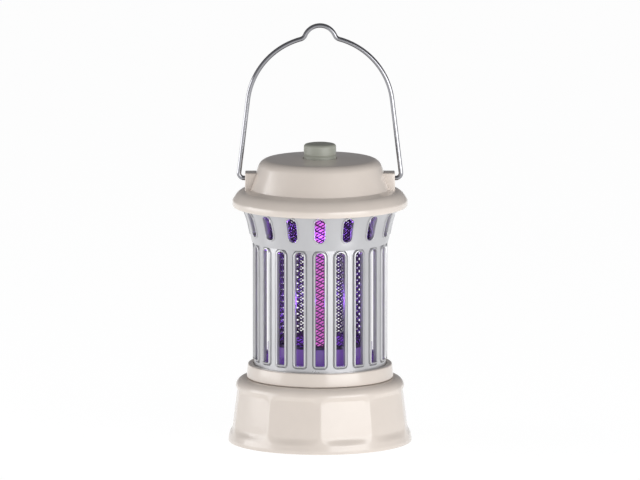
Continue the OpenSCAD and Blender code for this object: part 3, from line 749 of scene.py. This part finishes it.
def painted_edge_highlight(nodes, links, source_colour, highlight_colour, amount):
    """Paints a highlight: mixes a lighter colour in where the surface is convex."""
    geometry = nodes.new("ShaderNodeNewGeometry")
    mask = value_range(nodes, links, geometry.outputs["Pointiness"], 0, amount, 0.52, 0.6)
    mix = nodes.new("ShaderNodeMix")
    mix.data_type = "RGBA"
    mix.inputs["B"].default_value = (*highlight_colour, 1)
    links.new(mask, mix.inputs["Factor"])
    links.new(source_colour, mix.inputs["A"])
    return mix.outputs["Result"]


def plastic(name, colour, roughness, coat=0.0, grain=0.25, variation=0.04, grain_scale=2600):
    """Moulded plastic: a fine spark-eroded grain, slight mottling, and a painted highlight that makes its
    convex edges paler.
    """
    material, nodes, links, shader = new_material(name)
    darker = tuple(c * (1 - variation) for c in colour)
    lighter = tuple(min(1, c * (1 + variation)) for c in colour)
    mottled = ramp(nodes, links, noise(nodes, links, 60), darker, lighter)
    # Colour of the painted highlight along the convex edges
    highlight_colour = tuple(min(1, c * 1.12 + 0.02) for c in colour)
    links.new(painted_edge_highlight(nodes, links, mottled, highlight_colour, 0.5), shader.inputs["Base Color"])
    fine = noise(nodes, links, grain_scale, 2, 0.5)
    smears = noise(nodes, links, 45, 4, 0.6)
    gloss = value_range(nodes, links, smears, roughness * 0.88, roughness * 1.14)
    links.new(gloss, shader.inputs["Roughness"])
    bump(nodes, links, shader, fine, grain, GRAIN)
    shader.inputs["Coat Weight"].default_value = coat
    shader.inputs["Coat Roughness"].default_value = 0.18
    return material


def metal(name, colour, roughness, stretch=(1, 1, 1), scratch=0.15, scale=900):
    """Bright metal with fine drawn or brushed lines."""
    material, nodes, links, shader = new_material(name)
    lines = noise(nodes, links, scale, 4, 0.6, stretch)
    darker = tuple(c * 0.9 for c in colour)
    links.new(ramp(nodes, links, noise(nodes, links, 80), darker, colour), shader.inputs["Base Color"])
    gloss = value_range(nodes, links, lines, roughness * 0.6, roughness * 1.5)
    links.new(gloss, shader.inputs["Roughness"])
    shader.inputs["Metallic"].default_value = 1.0
    bump(nodes, links, shader, lines, scratch, SCRATCH)
    return material


def silver_paint(name, colour, roughness):
    """Silver lacquer: metal flakes in a clear coat, with faint mottling."""
    material, nodes, links, shader = new_material(name)
    mottled = ramp(nodes, links, noise(nodes, links, 70), tuple(c * 0.95 for c in colour), colour)
    links.new(mottled, shader.inputs["Base Color"])
    flakes = noise(nodes, links, 5200, 1, 0.4)
    links.new(value_range(nodes, links, noise(nodes, links, 50, 4), roughness * 0.85, roughness * 1.2),
              shader.inputs["Roughness"])
    bump(nodes, links, shader, flakes, 0.08, SCRATCH)
    shader.inputs["Metallic"].default_value = 0.6
    shader.inputs["Coat Weight"].default_value = 0.35
    shader.inputs["Coat Roughness"].default_value = 0.12
    return material


def rubber(name, colour, roughness=0.8):
    """Matt rubber with a little dust on it."""
    material, nodes, links, shader = new_material(name)
    darker = tuple(c * 0.85 for c in colour)
    dust = ramp(nodes, links, noise(nodes, links, 140, 5), darker, tuple(c * 1.15 for c in colour))
    links.new(dust, shader.inputs["Base Color"])
    links.new(value_range(nodes, links, noise(nodes, links, 300), roughness * 0.9, min(1, roughness * 1.1)),
              shader.inputs["Roughness"])
    bump(nodes, links, shader, noise(nodes, links, 3000, 2), 0.3, GRAIN)
    return material


def glowing(name, colour, glow, strength):
    """A tinted part that shines by itself, brighter in soft patches."""
    material, nodes, links, shader = new_material(name)
    shader.inputs["Base Color"].default_value = (*colour, 1)
    shader.inputs["Roughness"].default_value = 0.25
    dim = tuple(c * 0.72 for c in glow)
    links.new(ramp(nodes, links, noise(nodes, links, 90, 2, 0.5, (1, 1, 0.4)), dim, glow),
              shader.inputs["Emission Color"])
    shader.inputs["Emission Strength"].default_value = strength
    bump(nodes, links, shader, noise(nodes, links, 700), 0.1, GRAIN)
    return material


def board(name, colour):
    """Solder mask with faint tracks under it."""
    material, nodes, links, shader = new_material(name)
    place_node = nodes.new("ShaderNodeTexCoord")
    tracks = nodes.new("ShaderNodeTexBrick")
    tracks.inputs["Scale"].default_value = 240
    tracks.inputs["Color1"].default_value = (*colour, 1)
    tracks.inputs["Color2"].default_value = (*[c * 0.8 for c in colour], 1)
    tracks.inputs["Mortar"].default_value = (*[min(1, c * 1.6 + 0.01) for c in colour], 1)
    tracks.inputs["Mortar Size"].default_value = 0.03
    links.new(place_node.outputs["Object"], tracks.inputs["Vector"])
    links.new(tracks.outputs["Color"], shader.inputs["Base Color"])
    links.new(value_range(nodes, links, noise(nodes, links, 400), 0.3, 0.45), shader.inputs["Roughness"])
    bump(nodes, links, shader, tracks.outputs["Fac"], 0.2, SCRATCH)
    return material


MATERIALS = {
    "shell_cream": plastic("shell_cream", (0.70, 0.625, 0.56), 0.45, coat=0.9, grain=0.1, variation=0.015),
    "cover_cream": plastic("cover_cream", (0.60, 0.53, 0.47), 0.5, grain=0.3, variation=0.03),
    "cage_silver": silver_paint("cage_silver", (0.53, 0.53, 0.545), 0.32),
    "rubber_grey": rubber("rubber_grey", (0.03, 0.03, 0.03)),
    "steel_screw": metal("steel_screw", (0.6, 0.6, 0.62), 0.28),
    # The carrier is no lamp: its violet glow, brighter in soft patches, is painted lamp light
    "carrier_dark": glowing("carrier_dark", (0.20, 0.11, 0.36), (0.15, 0.08, 0.32), strength=0.5),
    "grid_steel": metal("grid_steel", (0.12, 0.10, 0.16), 0.4, stretch=(1, 1, 0.2)),
    "lamp_violet": glowing("lamp_violet", (0.12, 0.03, 0.12), (0.88, 0.22, 0.72), strength=0.9),
    "holder_white": plastic("holder_white", (0.75, 0.75, 0.75), 0.4),
    "led_emitter": glowing("led_emitter", (0.9, 0.8, 0.95), (0.7, 0.3, 1.0), strength=3.0),
    "board_white": board("board_white", (0.75, 0.78, 0.75)),
    "board_green": board("board_green", (0.02, 0.16, 0.06)),
    "lead_red": plastic("lead_red", (0.42, 0.02, 0.02), 0.35, coat=0.2),
    "winding_tape": plastic("winding_tape", (0.55, 0.38, 0.05), 0.3, coat=0.3, grain=0.3, variation=0.08),
    "capacitor_blue": plastic("capacitor_blue", (0.02, 0.08, 0.4), 0.25, coat=0.4),
    "parts_black": plastic("parts_black", (0.02, 0.02, 0.022), 0.45),
    "cell_wrap": plastic("cell_wrap", (0.02, 0.12, 0.42), 0.22, coat=0.5, grain=0.05, variation=0.03),
    "socket_steel": metal("socket_steel", (0.62, 0.62, 0.64), 0.25, stretch=(0.2, 1, 1)),
    "button_grey": plastic("button_grey", (0.36, 0.37, 0.315), 0.42, coat=0.1, grain=0.2, variation=0.03),
    "handle_chrome": metal(
        "handle_chrome", (0.34, 0.34, 0.36), 0.14, stretch=(1, 1, 0.15), scratch=0.04, scale=500),
}


def dress():
    """Gives every CAD node and every new piece the material of its slot."""
    slots = {entry["node"]: entry["material_slot"] for entry in frame["record"]["subparts"]}
    for node, piece in frame["nodes"].items():
        piece.data.materials.clear()
        piece.data.materials.append(MATERIALS[slots[node]])
    for piece in bpy.data.objects:
        if piece.get("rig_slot") and "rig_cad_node" not in piece:
            piece.data.materials.clear()
            piece.data.materials.append(MATERIALS[piece["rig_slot"]])


# ---- Studio: floor, world, lights and camera ----

def build_floor():
    """A plain floor that shines by itself, so that it stays pale out to its edges."""
    side = 6.0
    corners = [(-side, -side, 0), (side, -side, 0), (side, side, 0), (-side, side, 0)]
    floor = make_object("floor", corners, [(0, 1, 2, 3)])
    material, _, _, shader = new_material("floor_white")
    shader.inputs["Base Color"].default_value = (0.08, 0.08, 0.08, 1)
    shader.inputs["Roughness"].default_value = 0.9
    shader.inputs["Emission Color"].default_value = (1, 1, 1, 1)
    shader.inputs["Emission Strength"].default_value = 0.95
    floor.data.materials.append(material)


def build_world():
    """White to the camera. The light it gives is bright at the horizon, dim overhead and dim at +Y."""
    horizon, overhead = (0.54, 0.54, 0.56), (0.20, 0.20, 0.205)
    rear_share = 0.5
    world = bpy.data.worlds.new("studio")
    bpy.context.scene.world = world
    world.use_nodes = True
    nodes, links = world.node_tree.nodes, world.node_tree.links
    background = nodes["Background"]
    direction = nodes.new("ShaderNodeTexCoord")
    parts = nodes.new("ShaderNodeSeparateXYZ")
    links.new(direction.outputs["Generated"], parts.inputs["Vector"])
    height = ramp(nodes, links, parts.outputs["Z"], horizon, overhead, 0.0, 0.6)
    behind = value_range(nodes, links, parts.outputs["Y"], 1.0, rear_share, 0.35, 0.85)
    shade = nodes.new("ShaderNodeVectorMath")
    shade.operation = "SCALE"
    links.new(height, shade.inputs[0])
    links.new(behind, shade.inputs["Scale"])
    path = nodes.new("ShaderNodeLightPath")
    mix = nodes.new("ShaderNodeMix")
    mix.data_type = "RGBA"
    mix.inputs["B"].default_value = (1, 1, 1, 1)
    links.new(path.outputs["Is Camera Ray"], mix.inputs["Factor"])
    links.new(shade.outputs["Vector"], mix.inputs["A"])
    links.new(mix.outputs["Result"], background.inputs["Color"])


def panel_light(name, azimuth, distance, width, z0, z1, radiance):
    """An upright soft box that faces the lantern. Azimuth 0 is the front and 90 the right."""
    a = math.radians(azimuth)
    z = 0.5 * (z0 + z1)
    data = bpy.data.lights.new(name, "AREA")
    data.shape = "RECTANGLE"
    data.size = width
    data.size_y = z1 - z0
    data.energy = radiance * math.pi * width * (z1 - z0)
    light = add_object(name, data)
    light.visible_camera = False
    light.location = (distance * math.sin(a), -distance * math.cos(a), z)
    light.rotation_euler = (Vector((0, 0, z)) - light.location).to_track_quat("-Z", "Y").to_euler()


def build_glow():
    """The lamp's own light: small violet lights in a ring between the lamp and the inner grid."""
    count = 6
    radius = 0.5 * (lamp_hi.x + inner_hi.x)
    low, high = carrier_hi.z, upper_lo.z
    for k in range(count):
        angle = math.radians(30 + 360 / count * k)
        data = bpy.data.lights.new(f"glow_{k}", "POINT")
        data.energy = 0.022
        data.color = (0.35, 0.12, 1.0)
        data.shadow_soft_size = 4 * MM
        z = low + (high - low) * (0.3 if k % 2 else 0.8)
        add_object(f"glow_{k}", data).location = (radius * math.cos(angle), radius * math.sin(angle), z)


def build_lights():
    """Two soft boxes, one on each side of the camera, and the lamp's own light."""
    panel_light("key_right", azimuth=38, distance=1.0, width=1.0, z0=0.02, z1=0.50, radiance=4.0)
    panel_light("fill_left", azimuth=-86, distance=1.0, width=0.85, z0=0.02, z1=0.50, radiance=3.3)
    build_glow()


def build_camera():
    """A long lens from far off, which looks slightly down on the lantern's middle."""
    distance, elevation = 8.0, math.radians(8.8)
    view_width, sensor_width = 0.3846, 36
    data = bpy.data.cameras.new("camera")
    data.sensor_width = sensor_width
    data.lens = sensor_width * distance / view_width
    data.clip_end = 20
    camera = add_object("camera", data)
    target = Vector((0, 0, 0.1222))
    offset = Vector((0, -distance * math.cos(elevation), distance * math.sin(elevation)))
    camera.location = target + offset
    camera.rotation_euler = (target - camera.location).to_track_quat("-Z", "Y").to_euler()
    bpy.context.scene.camera = camera


build_camera()
build_base()
build_collar()
build_cage()
build_grids()
build_lamp()
build_cap()
build_button()
build_handle()
dress()
build_floor()
build_world()
build_lights()
bpy.context.scene.view_settings.view_transform = "Standard"
